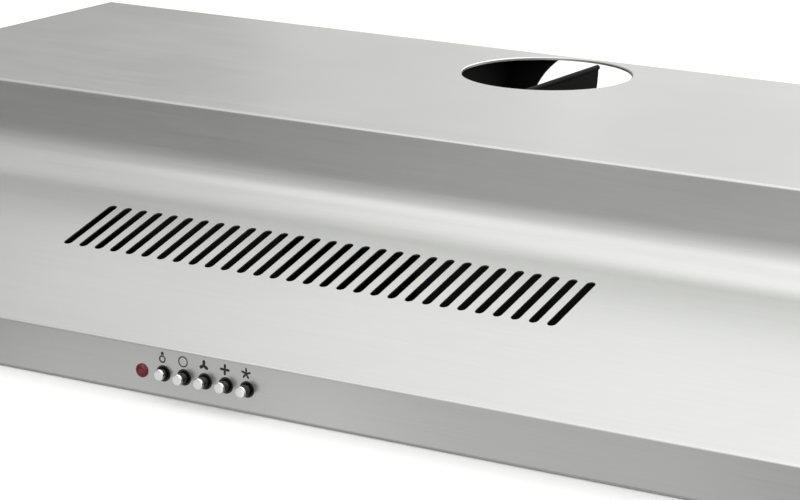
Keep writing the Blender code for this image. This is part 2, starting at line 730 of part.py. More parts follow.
def make_motor():
    bracket_low = SCROLL_TOP + GAP + BUSH_HEIGHT + GAP
    bracket_high = bracket_low + WALL
    loops = [circle((BLOWER_X, BLOWER_Y), BRACKET_RADIUS, 40)]
    loops.append(circle((BLOWER_X, BLOWER_Y), 0.009, 20))
    loops += [circle(place, SCREW_RADIUS + GAP, 16) for place in bush_places()]
    prism("motor_bracket", ZINC, loops, WALL, at(0, 0, (bracket_low + bracket_high) / 2))

    low = bracket_high + GAP
    high = low + MOTOR_HEIGHT
    bore = SHAFT_RADIUS + GAP
    can = [
        (bore, high),
        (MOTOR_RADIUS - 0.006, high),
        (MOTOR_RADIUS, high - 0.006),
        (MOTOR_RADIUS, low),
        (bore, low),
    ]
    turned("motor_body", MOTOR_PAINT, can, at(BLOWER_X, BLOWER_Y, 0), 40)

    for number, (x, y) in enumerate(bush_places(), 1):
        low = SCROLL_TOP + GAP
        bush = [
            (0.006, low + BUSH_HEIGHT),
            (0.006, low),
            (SCREW_RADIUS + GAP, low),
            (SCREW_RADIUS + GAP, low + BUSH_HEIGHT),
        ]
        turned(f"motor_bush_{number}", RUBBER, bush, at(x, y, 0), 20)
        seat = bracket_high + GAP
        screw = [
            (0, seat + 0.0025),
            (0.0030, seat + 0.0020),
            (0.0038, seat),
            (SCREW_RADIUS, seat),
            (SCREW_RADIUS, SCROLL_TOP - WALL - 0.003),
            (0, SCROLL_TOP - WALL - 0.003),
        ]
        turned(f"motor_screw_{number}", ZINC, screw, at(x, y, 0), 16)

    radius = 0.014
    length = 0.050
    can = [
        (0, length / 2),
        (radius - 0.001, length / 2),
        (radius, length / 2 - 0.001),
        (radius, -length / 2),
        (0, -length / 2),
    ]
    place = at(BLOWER_X + 0.073, BLOWER_Y + 0.076, SCROLL_TOP + GAP + radius)
    turned("motor_capacitor", WHITE, can, place @ ALONG_X, 24)


def make_outlet_box():
    front = LIP_Y + BOX_FRONT
    back = BACK_FACE
    left = BOX_X - BOX_HALF_WIDTH - WALL
    right = BOX_X + BOX_HALF_WIDTH + WALL
    case = box("outlet_box", BLACK, (left, front, BOX_BASE), (right, back, CEILING))
    rim = box("outlet_rim", BLACK, (left - BOX_RIM, front - BOX_RIM, CEILING - WALL),
              (right + BOX_RIM, back, CEILING))
    join(case, rim)
    cut(case, box("outlet_hollow", BLACK, (left + WALL, front + WALL, BOX_BASE + WALL),
                  (right - WALL, back - WALL, CEILING + 0.01)))
    port = [circle((PORT_OFFSET, PORT_RISE), DUCT_RADIUS, 64)]
    cut(case, prism("box_port_cut", BLACK, port, 0.01, at(0, back, 0) @ FACING_FRONT))
    tongue = BLOWER_Y + SCROLL_START * math.sin(SCROLL_FROM)
    far = BLOWER_Y + scroll_radius(-1.5 * math.pi)
    cut(case, box("inlet_side_cut", BLACK, (left - 0.005, tongue, SCROLL_BASE + WALL),
                  (left + 0.005, far, SCROLL_TOP - WALL)))
    half = NECK_HALF_WIDTH - WALL
    cut(case, box("front_cut", BLACK, (-half, front - 0.005, NECK_BASE + WALL),
                  (half, front + 0.005, NECK_BASE + NECK_HEIGHT - WALL)))
    pin_hole = [circle((PORT_OFFSET, PIN_RISE), PIN_RADIUS + RUNNING_GAP, 16)]
    cut(case, prism("pin_cut", BLACK, pin_hole, 0.02, at(0, front, 0) @ FACING_FRONT))


def make_damper():
    """A half-moon flap that hangs from a pin held in the outlet box's front wall."""
    front = LIP_Y + BOX_FRONT
    start = front - BOX_RIM + 0.001
    end = LIP_Y + FLAP_SETBACK + FLAP_RADIUS + 0.001
    pin = [(0, start), (PIN_RADIUS, start), (PIN_RADIUS, end), (0, end)]
    profile = [(radius, -distance) for radius, distance in pin]
    turned("damper_pin", ZINC, profile, at(PORT_OFFSET, 0, PIN_RISE) @ TO_FRONT, 20)

    frame = at(PORT_OFFSET, LIP_Y + FLAP_SETBACK, PIN_RISE) @ FACING_X
    leaf = arc((0, 0), FLAP_RADIUS, math.pi, 2 * math.pi, 40)
    flap = prism("damper_flap", BLACK, [leaf], FLAP_THICKNESS, frame)
    barrel = prism("barrel", BLACK, [circle((0, 0), PIN_RADIUS + 0.0008, 20)], 2 * FLAP_RADIUS,
                   at(PORT_OFFSET, LIP_Y + FLAP_SETBACK, PIN_RISE) @ FACING_FRONT)
    join(flap, barrel)
    bore = prism("barrel_bore", BLACK, [circle((0, 0), PIN_RADIUS + RUNNING_GAP, 20)],
                 2 * FLAP_RADIUS + 0.01,
                 at(PORT_OFFSET, LIP_Y + FLAP_SETBACK, PIN_RISE) @ FACING_FRONT)
    cut(flap, bore)


def make_recirculation_duct():
    """A chamber behind the slots and the neck that feeds it from the outlet box."""
    near = SLOT_SETBACK - CHAMBER_REACH
    far = SLOT_SETBACK + CHAMBER_REACH
    base = NECK_BASE - WALL

    def under_slope(setback):
        return LIP_HEIGHT + setback * math.tan(SLOPE) - CHAMBER_DROP

    half = SLOT_PITCH * (SLOT_COUNT - 1) / 2 + SLOT_WIDTH / 2 + CHAMBER_MARGIN
    outer = [(near, base), (far, base), (far, under_slope(far)), (near, under_slope(near))]
    duct = prism("recirculation_duct", BLACK, [outer], 2 * half, at(0, LIP_Y, 0) @ FACING_X)
    start = LIP_Y + NECK_START
    end = LIP_Y + BOX_FRONT - GAP
    top = NECK_BASE + NECK_HEIGHT
    join(duct, box("neck", BLACK, (-NECK_HALF_WIDTH, start, NECK_BASE), (NECK_HALF_WIDTH, end, top)))
    inner = [
        (near + WALL, base + WALL),
        (far - WALL, base + WALL),
        (far - WALL, under_slope(far) + 0.02),
        (near + WALL, under_slope(near) + 0.02),
    ]
    cut(duct, prism("chamber_hollow", BLACK, [inner], 2 * (half - WALL), at(0, LIP_Y, 0) @ FACING_X))
    cut(duct, box("neck_hollow", BLACK,
                  (WALL - NECK_HALF_WIDTH, start - WALL - 0.002, NECK_BASE + WALL),
                  (NECK_HALF_WIDTH - WALL, end + 0.01, top - WALL)))
    spindle = (LIP_Y + DIVERTER_SETBACK, diverter_rise())
    hole = [circle(spindle, DIVERTER_PIN + RUNNING_GAP, 16)]
    cut(duct, prism("spindle_cut", BLACK, hole, 2 * NECK_HALF_WIDTH + 0.01, FACING_X))


def diverter_rise():
    return NECK_BASE + NECK_HEIGHT - WALL - DIVERTER_MARGIN


def make_diverter():
    """A flap in the neck that shuts the way to the slots while the hood blows outdoors."""
    half = NECK_HALF_WIDTH - WALL - GAP
    rise = diverter_rise()
    low = NECK_BASE + WALL + GAP - rise
    frame = at(0, LIP_Y + DIVERTER_SETBACK, rise) @ FACING_X
    leaf = rounded_rectangle(-0.001, 0.001, low, 0, 0.0004, 2)
    flap = prism("diverter_flap", BLACK, [leaf], 2 * half, frame)
    spindle = circle((0, 0), DIVERTER_PIN, 16)
    join(flap, prism("spindle", BLACK, [spindle], 2 * NECK_HALF_WIDTH + 0.004, frame))


def make_terminal_box():
    wide, deep, tall = TERMINAL_SIZE
    back = BACK_FACE
    left = TERMINAL_X - wide / 2
    low = TERMINAL_RISE - tall / 2
    case = box("terminal_box", BLACK, (left, back - deep, low), (left + wide, back, low + tall))
    cut(case, box("terminal_hollow", BLACK, (left + WALL, back - deep + WALL, low - 0.01),
                  (left + wide - WALL, back - WALL, low + tall - WALL)))
    hole = [circle((TERMINAL_X, TERMINAL_RISE), GLAND_RADIUS + GAP, 20)]
    cut(case, prism("gland_cut", BLACK, hole, 0.01, at(0, back, 0) @ FACING_FRONT))
    box("terminal_cover", BLACK, (left, back - deep, low - GAP - WALL), (left + wide, back, low - GAP))
    ceiling = low + tall - WALL - GAP
    box("terminal_strip", WHITE, (TERMINAL_X - 0.030, back - deep + WALL + 0.006, ceiling - 0.012),
        (TERMINAL_X - 0.010, back - WALL - 0.006, ceiling), 0.0008)
    seat = WALL + SHEET + 2 * GAP
    gland = [
        (GLAND_RADIUS, -GAP),
        (GLAND_RADIUS, -seat),
        (GLAND_RADIUS + 0.003, -seat),
        (GLAND_RADIUS + 0.003, -seat - 0.006),
        (GLAND_BORE, -seat - 0.006),
        (GLAND_BORE, -GAP),
    ]
    turned("cable_gland", BLACK, gland, at(TERMINAL_X, BACK_Y, TERMINAL_RISE) @ TO_BACK, 24)


def make_filters():
    low = FLOOR
    high = FLOOR + FILTER_HEIGHT
    hinge_y = BACK_Y - BACK_FLANGE
    for number, x in enumerate(filter_places(), 1):
        left = -FILTER_WIDTH / 2
        right = FILTER_WIDTH / 2
        front = FILTER_FRONT - hinge_y
        back = FILTER_BACK - hinge_y
        frame = at(x, hinge_y, SHEET + GAP / 2)
        loops = [
            rounded_rectangle(left, right, front, back, 0.003, 3),
            rounded_rectangle(left + FILTER_RAIL, right - FILTER_RAIL, front + FILTER_RAIL,
                              back - FILTER_RAIL, 0.003, 3),
        ]
        lift = GAP / 2 + FILTER_HEIGHT / 2
        rim = prism(f"filter_frame_{number}", ALUMINIUM, loops, FILTER_HEIGHT, frame @ at(0, 0, lift))
        slack = FILTER_RAIL + GAP
        pack = rounded_rectangle(left + slack, right - slack, front + slack, back - slack, 0.003, 3)
        prism(f"filter_mesh_{number}", ALUMINIUM, [pack], FILTER_PACK, frame @ at(0, 0, lift))
        half = LATCH_WIDTH / 2 - 0.001
        pocket = box(f"latch_pocket_{number}", ALUMINIUM,
                     (x - half - GAP, FILTER_FRONT - 0.002, low - 0.002),
                     (x + half + GAP, FILTER_FRONT + LATCH_TRAVEL + LATCH_DEPTH + GAP, high - 0.003))
        cut(rim, pocket)
        slide = FILTER_FRONT + LATCH_TRAVEL
        latch = box(f"filter_latch_{number}", ZINC, (x - half, slide, low + GAP),
                    (x + half, slide + LATCH_DEPTH, high - 0.003 - GAP))
        join(latch, box(f"latch_tongue_{number}", ZINC, (x - half + 0.002, slide - 0.0045, low + 0.0025),
                        (x + half - 0.002, slide + 0.001, low + 0.0045)))


make_canopy()
make_side_panels()
make_back_panel()
make_light_panel()
make_lamps()
make_controls()
make_scroll()
make_inlet_guard()
make_impeller()
make_motor()
make_outlet_box()
make_damper()
make_recirculation_duct()
make_diverter()
make_terminal_box()
make_filters()
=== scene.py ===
"""The looks of an under cabinet range hood: materials, fine pieces, lights and camera.

Metres, in the CAD's own frame: +X along the width, the controls face -Y, +Z up.
"""

import json
import math

import bmesh
import bpy
from mathutils import Matrix, Vector

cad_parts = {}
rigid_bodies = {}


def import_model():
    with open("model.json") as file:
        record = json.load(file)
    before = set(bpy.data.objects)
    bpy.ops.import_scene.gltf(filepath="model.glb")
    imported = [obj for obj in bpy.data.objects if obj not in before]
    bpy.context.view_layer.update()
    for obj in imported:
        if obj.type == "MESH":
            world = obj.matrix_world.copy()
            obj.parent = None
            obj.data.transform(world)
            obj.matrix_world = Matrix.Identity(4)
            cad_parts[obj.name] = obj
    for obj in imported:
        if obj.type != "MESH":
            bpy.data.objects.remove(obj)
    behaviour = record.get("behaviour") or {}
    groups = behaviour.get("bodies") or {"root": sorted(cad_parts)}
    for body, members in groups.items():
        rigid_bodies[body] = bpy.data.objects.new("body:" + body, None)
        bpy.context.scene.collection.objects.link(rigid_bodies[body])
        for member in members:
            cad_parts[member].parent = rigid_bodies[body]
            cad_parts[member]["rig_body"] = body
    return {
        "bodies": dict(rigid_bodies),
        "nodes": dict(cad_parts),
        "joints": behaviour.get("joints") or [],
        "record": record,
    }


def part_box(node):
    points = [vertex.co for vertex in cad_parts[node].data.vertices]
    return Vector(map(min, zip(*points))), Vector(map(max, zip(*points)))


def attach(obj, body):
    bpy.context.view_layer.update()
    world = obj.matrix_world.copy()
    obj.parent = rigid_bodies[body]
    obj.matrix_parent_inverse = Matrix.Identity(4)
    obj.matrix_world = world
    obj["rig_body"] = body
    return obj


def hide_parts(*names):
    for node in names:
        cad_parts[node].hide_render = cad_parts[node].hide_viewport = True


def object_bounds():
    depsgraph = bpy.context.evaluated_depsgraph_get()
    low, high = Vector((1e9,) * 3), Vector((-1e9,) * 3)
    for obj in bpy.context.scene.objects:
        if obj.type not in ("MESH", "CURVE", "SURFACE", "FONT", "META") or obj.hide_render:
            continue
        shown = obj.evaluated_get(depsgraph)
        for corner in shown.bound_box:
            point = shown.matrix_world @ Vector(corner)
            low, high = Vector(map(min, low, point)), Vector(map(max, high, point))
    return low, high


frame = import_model()
CAD_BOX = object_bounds()
NODES = frame["nodes"]

# Camera: where it stands, how it looks, and its lens on a 36 mm sensor
CAMERA_PLACE = (1.0914, -1.8005, 0.5896)
CAMERA_AZIMUTH = math.radians(31.48)
CAMERA_DOWN = math.radians(14.37)
CAMERA_ROLL = math.radians(-0.4545)
CAMERA_LENS = 140.26
SENSOR_WIDTH = 36
CLIP_END = 50

# Studio light: an even sky with soft glows (azimuth, elevation, strength), and panels
# (name, place, target, size, power)
SKY_BASE = 0.06
GLOW_FOCUS = 5.0
SKY_GLOWS = (
    (-110, 25, 0.10),
    (170, 25, 1.30),
    (-148, 60, 0.38),
    (5, 14, 0.16),
    (10, 45, 1.50),
    (60, 25, 0.60),
    (110, 25, 0.50),
    (0, 80, 0.85),
    (-148, -78, 0.32),
    (-90, -58, 0.28),
)
PANELS = (
    ("back_left", (-0.75, 1.25, 0.50), (-0.25, 0.1, 0.14), (0.4, 0.5), 0.15),
    ("back_middle", (-0.35, 1.25, 0.50), (0.15, 0.1, 0.14), (0.4, 0.5), 0.165),
    ("back_right", (0.05, 1.25, 0.50), (0.55, 0.1, 0.14), (0.4, 0.5), 0.195),
    ("over_left", (-0.95, 0.75, 0.95), (-0.50, -0.1, 0.08), (0.45, 0.5), 0.17),
    ("over_middle", (-0.50, 0.75, 0.95), (-0.05, -0.1, 0.08), (0.45, 0.5), 0.145),
    ("near_left", (-0.25, -0.52, -0.11), (-0.10, -0.25, -0.01), (0.3, 0.16), 0.070),
    ("near_middle", (0.05, -0.52, -0.11), (0.20, -0.25, -0.01), (0.3, 0.16), 0.059),
    ("near_right", (0.35, -0.52, -0.11), (0.50, -0.25, -0.01), (0.3, 0.16), 0.032),
    ("roof", (-0.2, -0.25, 1.0), (0.1, -0.08, 0.08), (0.5, 0.8), 0.50),
    ("brow_left", (-0.6, -0.8, 0.84), (0.0, -0.1, 0.08), (0.4, 0.3), 0.32),
    ("brow_middle", (-0.2, -0.8, 0.84), (0.4, -0.1, 0.08), (0.4, 0.3), 0.125),
    ("brow_right", (0.2, -0.8, 0.84), (0.8, -0.1, 0.08), (0.4, 0.3), 0.50),
)
FLOOR_HALF = 9.0
FLOOR_DROP = 0.0005

# How CAD meshes are shaded
SEAM_WIDTH = 0.000005
FOLD_ANGLE = math.radians(32)
FLAT_WEIGHT = 100
TURNED_FOLD_ANGLE = math.radians(35)

# Controls, in the order they stand from left to right
BUTTONS = ("button_lamp", "button_off", "button_speed_1", "button_speed_2", "button_speed_3")
CAP_LENGTH = 0.0016
STEM_INSET = 0.00012
BEAD_GAP = 0.0003
BEAD_WIDTH = 0.0013
BEAD_HEIGHT = 0.0005
BEAD_SEAT = 0.00002
PRINT_HALF = 0.00002
PRINT_PROUD = 0.00003
SIGN_RISE = 0.0262
SIGN_SHIFT = -0.0008

# The pilot light's stem, under its dome
LENS_STEM_RADIUS = 0.0030
LENS_FOOT = 0.0003

# The round opening for the duct, and how far its centre lies from the back
DUCT_RADIUS = 0.064
DUCT_SETBACK = 0.0665

# The filters' expanded metal: diamond pitch and strand section
DIAMOND_LENGTH = 0.0062
DIAMOND_WIDTH = 0.0052
STRAND_HALF = 0.00045
STRAND_THICK = 0.0002
STRAND_THIN = 0.0001
STRAND_TILT = 0.8


# ---------------------------------------------------------------- materials

class Paint:
    """A small helper that builds a node material around one Principled shader."""

    def __init__(self, name, colour, roughness, metallic=0.0):
        self.material = bpy.data.materials.new(name)
        self.material.use_nodes = True
        self.nodes = self.material.node_tree.nodes
        self.links = self.material.node_tree.links
        self.shader = self.nodes["Principled BSDF"]
        self.colour = colour
        self.set("Base Color", (*colour, 1))
        self.set("Roughness", roughness)
        self.set("Metallic", metallic)

    def set(self, socket, value):
        self.shader.inputs[socket].default_value = value

    def node(self, kind, **inputs):
        made = self.nodes.new(kind)
        for key, value in inputs.items():
            made.inputs[key.replace("_", " ")].default_value = value
        return made

    def place(self, scale):
        """Object coordinates stretched by scale."""
        where = self.node("ShaderNodeTexCoord")
        mapping = self.node("ShaderNodeMapping", Scale=scale)
        self.links.new(where.outputs["Object"], mapping.inputs["Vector"])
        return mapping.outputs["Vector"]

    def noise(self, scale, detail=4.0, roughness=0.6):
        made = self.node("ShaderNodeTexNoise", Scale=1.0, Detail=detail, Roughness=roughness)
        self.links.new(self.place(scale), made.inputs["Vector"])
        return made.outputs["Fac"]

    def spread(self, value, low, high):
        """Maps a noise value, mostly 0.3 to 0.7, onto the range from low to high."""
        made = self.node("ShaderNodeMapRange", From_Min=0.3, From_Max=0.7, To_Min=low, To_Max=high)
        self.links.new(value, made.inputs["Value"])
        return made.outputs["Result"]

    def combine(self, operation, first, second):
        """A math node; the second value may be a plain number."""
        made = self.node("ShaderNodeMath")
        made.operation = operation
        self.links.new(first, made.inputs[0])
        if isinstance(second, (int, float)):
            made.inputs[1].default_value = second
        else:
            self.links.new(second, made.inputs[1])
        return made.outputs["Value"]

    def times(self, first, second):
        return self.combine("MULTIPLY", first, second)

    def plus(self, first, second):
        return self.combine("ADD", first, second)

    def shade(self, level):
        """Multiplies the base colour by level."""
        made = self.node("ShaderNodeVectorMath")
        made.operation = "SCALE"
        made.inputs[0].default_value = self.colour
        self.links.new(level, made.inputs["Scale"])
        self.links.new(made.outputs["Vector"], self.shader.inputs["Base Color"])

    def rough(self, value):
        self.links.new(value, self.shader.inputs["Roughness"])

    def bump(self, height, strength, distance):
        made = self.node("ShaderNodeBump", Strength=strength, Distance=distance)
        self.links.new(height, made.inputs["Height"])
        self.links.new(made.outputs["Normal"], self.shader.inputs["Normal"])


def brushed(name, colour, roughness, along, fineness=1600, depth=0.00002, vary=0.04):
    """Metal with a grain that runs along one axis, faint cloudiness and uneven polish."""
    paint = Paint(name, colour, roughness, 1.0)
    fine = [fineness if axis != along else 14 for axis in range(3)]
    coarse = [fineness / 5 if axis != along else 5 for axis in range(3)]
    grain = paint.noise(fine, 3.0)
    streaks = paint.noise(coarse, 2.0)
    clouds = paint.noise((5, 5, 5), 3.0)
    both = paint.plus(paint.times(grain, 0.72), paint.times(streaks, 0.28))
    paint.shade(paint.times(paint.spread(both, 1 - vary, 1 + vary),
                            paint.spread(clouds, 0.985, 1.015)))
    paint.rough(paint.times(paint.spread(both, roughness * 0.88, roughness * 1.12),
                            paint.spread(clouds, 0.95, 1.05)))
    paint.bump(both, 0.35, depth)
    return paint.material


def moulded(name, colour, roughness, scale=900, depth=0.00006, vary=0.12, specular=0.5):
    """Moulded plastic with a fine even texture and faint flow marks."""
    paint = Paint(name, colour, roughness)
    paint.set("Specular IOR Level", specular)
    grain = paint.noise((scale, scale, scale), 3.0)
    flow = paint.noise((11, 7, 16), 3.0)
    paint.shade(paint.spread(flow, 1 - vary, 1 + vary))
    paint.rough(paint.times(paint.spread(grain, roughness * 0.9, roughness * 1.1),
                            paint.spread(flow, 0.94, 1.06)))
    paint.bump(grain, 0.4, depth)
    return paint.material


def polished(name, colour, roughness):
    """Bright plating with a faint haze."""
    paint = Paint(name, colour, roughness, 1.0)
    haze = paint.noise((260, 260, 260), 4.0)
    paint.shade(paint.spread(haze, 0.97, 1.02))
    paint.rough(paint.spread(haze, roughness * 0.7, roughness * 1.5))
    paint.bump(haze, 0.1, 0.00002)
    return paint.material


def plated(name, colour, roughness):
    """Zinc plate: dull metal with soft mottling."""
    paint = Paint(name, colour, roughness, 1.0)
    mottle = paint.noise((120, 120, 120), 5.0, 0.7)
    paint.shade(paint.spread(mottle, 0.85, 1.1))
    paint.rough(paint.spread(mottle, roughness * 0.8, roughness * 1.25))
    paint.bump(mottle, 0.15, 0.00003)
    return paint.material


def coloured_lens(name, colour, roughness):
    """Deep coloured plastic under a thin glossy skin."""
    paint = Paint(name, colour, roughness)
    paint.set("Coat Weight", 0.15)
    paint.set("Coat Roughness", 0.06)
    depth = paint.noise((500, 500, 500), 3.0)
    paint.shade(paint.spread(depth, 0.8, 1.15))
    paint.rough(paint.spread(depth, roughness * 0.8, roughness * 1.2))
    paint.bump(depth, 0.1, 0.00002)
    return paint.material


def frosted(name, colour, roughness, through):
    """Milky glass or plastic that lets some light through."""
    paint = Paint(name, colour, roughness)
    paint.set("Transmission Weight", through)
    paint.set("IOR", 1.49)
    grain = paint.noise((700, 700, 700), 3.0)
    paint.shade(paint.spread(grain, 0.95, 1.03))
    paint.rough(paint.spread(grain, roughness * 0.85, roughness * 1.15))
    paint.bump(grain, 0.3, 0.00008)
    return paint.material


def plain(name, colour, roughness):
    """Studio paper, very slightly uneven."""
    paint = Paint(name, colour, roughness)
    dust = paint.noise((3, 3, 3), 4.0)
    paint.shade(paint.spread(dust, 0.99, 1.01))
    paint.rough(paint.spread(dust, roughness * 0.95, roughness * 1.05))
    return paint.material


STEEL = brushed("stainless_steel", (0.66, 0.665, 0.65), 0.34, along=0)
SIDE_STEEL = brushed("stainless_steel_side", (0.66, 0.665, 0.65), 0.34, along=1)
ALUMINIUM = brushed("aluminium", (0.72, 0.73, 0.74), 0.38, along=1, fineness=900)
ZINC = plated("zinc_steel", (0.50, 0.51, 0.52), 0.42)
CHROME = polished("chrome", (0.82, 0.82, 0.82), 0.07)
SATIN_CHROME = polished("satin_chrome", (0.96, 0.96, 0.955), 0.2)
BLACK = moulded("black_plastic", (0.004, 0.004, 0.004), 0.5)
MATT_BLACK = moulded("matt_black_plastic", (0.0035, 0.0035, 0.0035), 0.75, specular=0.2)
GLOSSY_BLACK = moulded("gloss_black_plastic", (0.005, 0.005, 0.005), 0.16, 400, 0.00001)
WHITE = moulded("white_plastic", (0.74, 0.73, 0.69), 0.45, 700, 0.00004, 0.04)
RUBBER = moulded("rubber", (0.018, 0.018, 0.018), 0.82, 1200, 0.0001)
MOTOR = moulded("motor_paint", (0.035, 0.036, 0.04), 0.4, 500, 0.0001)
LENS = frosted("lamp_lens", (0.90, 0.91, 0.91), 0.35, 0.6)
GLASS = frosted("bulb_glass", (0.95, 0.95, 0.93), 0.18, 0.5)
RED = coloured_lens("red_lens", (0.11, 0.002, 0.008), 0.12)
INK = moulded("print_ink", (0.012, 0.012, 0.012), 0.6, 2000, 0.00001)

PAINTS = {
    "stainless": STEEL,
    "zinc_steel": ZINC,
    "chrome": CHROME,
    "aluminium": ALUMINIUM,
    "black_plastic": BLACK,
    "white_plastic": WHITE,
    "lamp_lens": LENS,
    "bulb_glass": GLASS,
    "red_lens": RED,
    "rubber": RUBBER,
    "motor_paint": MOTOR,
}


def dress_nodes():
    """Every CAD node takes its slot's material and is shaded smooth between its folds."""
    slots = {entry["node"]: entry["material_slot"] for entry in frame["record"]["subparts"]}
    for name, node in NODES.items():
        paint = PAINTS[slots[name]]
        if name.startswith("side_panel"):
            paint = SIDE_STEEL
        if name in ("outlet_box", "damper_flap"):
            paint = MATT_BLACK
        node.data.materials.clear()
        node.data.materials.append(paint)
        seam = node.modifiers.new("join", "WELD")
        seam.merge_threshold = SEAM_WIDTH
        node.data.shade_smooth()
        folds = node.modifiers.new("sharp_folds", "EDGE_SPLIT")
        folds.split_angle = FOLD_ANGLE
        folds.use_edge_sharp = False
        even = node.modifiers.new("flats_stay_flat", "WEIGHTED_NORMAL")
        even.weight = FLAT_WEIGHT
        even.keep_sharp = True


# ---------------------------------------------------------------- fine pieces

TO_FRONT = Matrix.Rotation(math.pi / 2, 4, "X")


def at(x, y, z):
    return Matrix.Translation((x, y, z))


def piece(name, mesh, paint, body, frame=None):
    """Places a mesh in the hood's frame and lets it ride on a body."""
    made = bpy.data.objects.new(name, mesh)
    bpy.context.scene.collection.objects.link(made)
    if frame is not None:
        made.matrix_world = frame
    if not mesh.materials:
        mesh.materials.append(paint)
    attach(made, body)
    return made


def turned(name, profile, steps=72):
    """A mesh turned about Z from a (radius, height) profile; a radius of 0 closes it."""
    edit = bmesh.new()
    rings = []
    for radius, height in profile:
        if radius == 0:
            rings.append([edit.verts.new((0, 0, height))])
            continue
        turns = [2 * math.pi * step / steps for step in range(steps)]
        rings.append([edit.verts.new((radius * math.cos(a), radius * math.sin(a), height))
                      for a in turns])
    if profile[0][0] and profile[-1][0]:
        rings.append(rings[0])
    for first, second in zip(rings, rings[1:]):
        for step in range(steps):
            after = (step + 1) % steps
            if len(first) == 1:
                edit.faces.new((first[0], second[step], second[after]))
            elif len(second) == 1:
                edit.faces.new((first[step], second[0], first[after]))
            else:
                edit.faces.new((first[step], second[step], second[after], first[after]))
    bmesh.ops.recalc_face_normals(edit, faces=edit.faces)
    mesh = bpy.data.meshes.new(name)
    edit.to_mesh(mesh)
    edit.free()
    mesh.shade_smooth()
    mesh.set_sharp_from_angle(angle=TURNED_FOLD_ANGLE)
    return mesh


def rounded(corners, radius, steps=5):
    """A (radius, height) profile whose inner corners are rounded off."""
    points = [Vector(corners[0])]
    for before, corner, after in zip(corners, corners[1:], corners[2:]):
        before, corner, after = Vector(before), Vector(corner), Vector(after)
        reach = min(radius, (before - corner).length * 0.45, (after - corner).length * 0.45)
        start = corner + (before - corner).normalized() * reach
        end = corner + (after - corner).normalized() * reach
        for step in range(steps + 1):
            share = step / steps
            points.append(start.lerp(corner, share).lerp(corner.lerp(end, share), share))
    points.append(Vector(corners[-1]))
    return [(point.x, point.y) for point in points]


def ring_points(middle, radius, steps):
    """Points along a circle."""
    turns = [2 * math.pi * step / steps for step in range(steps)]
    return [(middle[0] + radius * math.cos(a), middle[1] + radius * math.sin(a)) for a in turns]


def printed(name, loops):
    """A flat print with holes, drawn in X and Z, a few hundredths of a millimetre thick."""
    curve = bpy.data.curves.new(name, "CURVE")
    curve.dimensions = "2D"
    curve.fill_mode = "BOTH"
    curve.extrude = PRINT_HALF
    for loop in loops:
        spline = curve.splines.new("POLY")
        spline.points.add(len(loop) - 1)
        for point, (across, up) in zip(spline.points, loop):
            point.co = (across, up, 0, 1)
        spline.use_cyclic_u = True
    drawn = bpy.data.objects.new(name + "_outline", curve)
    bpy.context.scene.collection.objects.link(drawn)
    evaluated = drawn.evaluated_get(bpy.context.evaluated_depsgraph_get())
    mesh = bpy.data.meshes.new_from_object(evaluated)
    bpy.data.objects.remove(drawn, do_unlink=True)
    return mesh


def lamp_sign():
    """A bulb with its cap up."""
    glass = ring_points((0, -0.0008), 0.0026, 32)
    inside = ring_points((0, -0.0008), 0.0016, 32)
    cap = [(-0.0011, 0.0020), (0.0011, 0.0020), (0.0011, 0.0031), (0.0007, 0.0040),
           (-0.0007, 0.0040), (-0.0011, 0.0031)]
    return [glass, inside, cap]


def off_sign():
    """A plain ring."""
    return [ring_points((0, 0), 0.0037, 48), ring_points((0, 0), 0.0029, 48)]


def fan_sign(blades):
    """A small fan with the given number of swept blades around a hub."""
    outline = []
    pitch = 2 * math.pi / blades
    for blade in range(blades):
        turn = math.pi / 2 + blade * pitch
        for radius, offset in ((0.0012, -0.45), (0.0026, -0.26), (0.0038, -0.09),
                               (0.0037, 0.09), (0.0026, 0.20), (0.0012, 0.45)):
            angle = turn + offset * pitch
            outline.append((radius * math.cos(angle), radius * math.sin(angle)))
    return [outline]


def make_signs():
    """A generic sign printed over each button."""
    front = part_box("canopy_shell")[0].y
    signs = (lamp_sign(), off_sign(), fan_sign(3), fan_sign(4), fan_sign(5))
    for button, loops in zip(BUTTONS, signs):
        low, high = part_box(button)
        x = (low.x + high.x) / 2 + SIGN_SHIFT
        mesh = printed("sign_" + button, loops)
        piece("sign_" + button, mesh, INK, "hood",
              at(x, front - PRINT_PROUD, SIGN_RISE) @ TO_FRONT)


def make_buttons():
    """Each button is a black stem with a bright domed cap; the black collar gets a bead."""
    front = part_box("canopy_shell")[0].y
    for button in BUTTONS:
        low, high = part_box(button)
        radius = (high.x - low.x) / 2
        length = high.y - low.y
        middle = (low + high) / 2
        frame = at(middle.x, low.y, middle.z) @ TO_FRONT
        cap = rounded([(0, 0), (radius * 0.5, -0.00003), (radius * 0.93, -0.00012),
                       (radius, -0.0009), (radius, -CAP_LENGTH), (0, -CAP_LENGTH)], 0.00025)
        body = NODES[button]["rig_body"]
        tip = piece(button + "_cap", turned(button + "_cap", cap), SATIN_CHROME, body,
                    frame)
        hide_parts(button)
        slim = radius - STEM_INSET
        stem = rounded([(0, -CAP_LENGTH), (slim, -CAP_LENGTH), (slim, -length), (0, -length)],
                       0.0002)
        piece(button + "_stem", turned(button + "_stem", stem), GLOSSY_BLACK, body,
              frame)
        inner = radius + BEAD_GAP
        outer = inner + BEAD_WIDTH
        bead = rounded([(inner, BEAD_SEAT), (inner, BEAD_HEIGHT), (outer, BEAD_HEIGHT),
                        (outer, BEAD_SEAT)], 0.00035)
        piece(button + "_bead", turned(button + "_bead", bead), GLOSSY_BLACK, "hood",
              at(middle.x, front, middle.z) @ TO_FRONT)


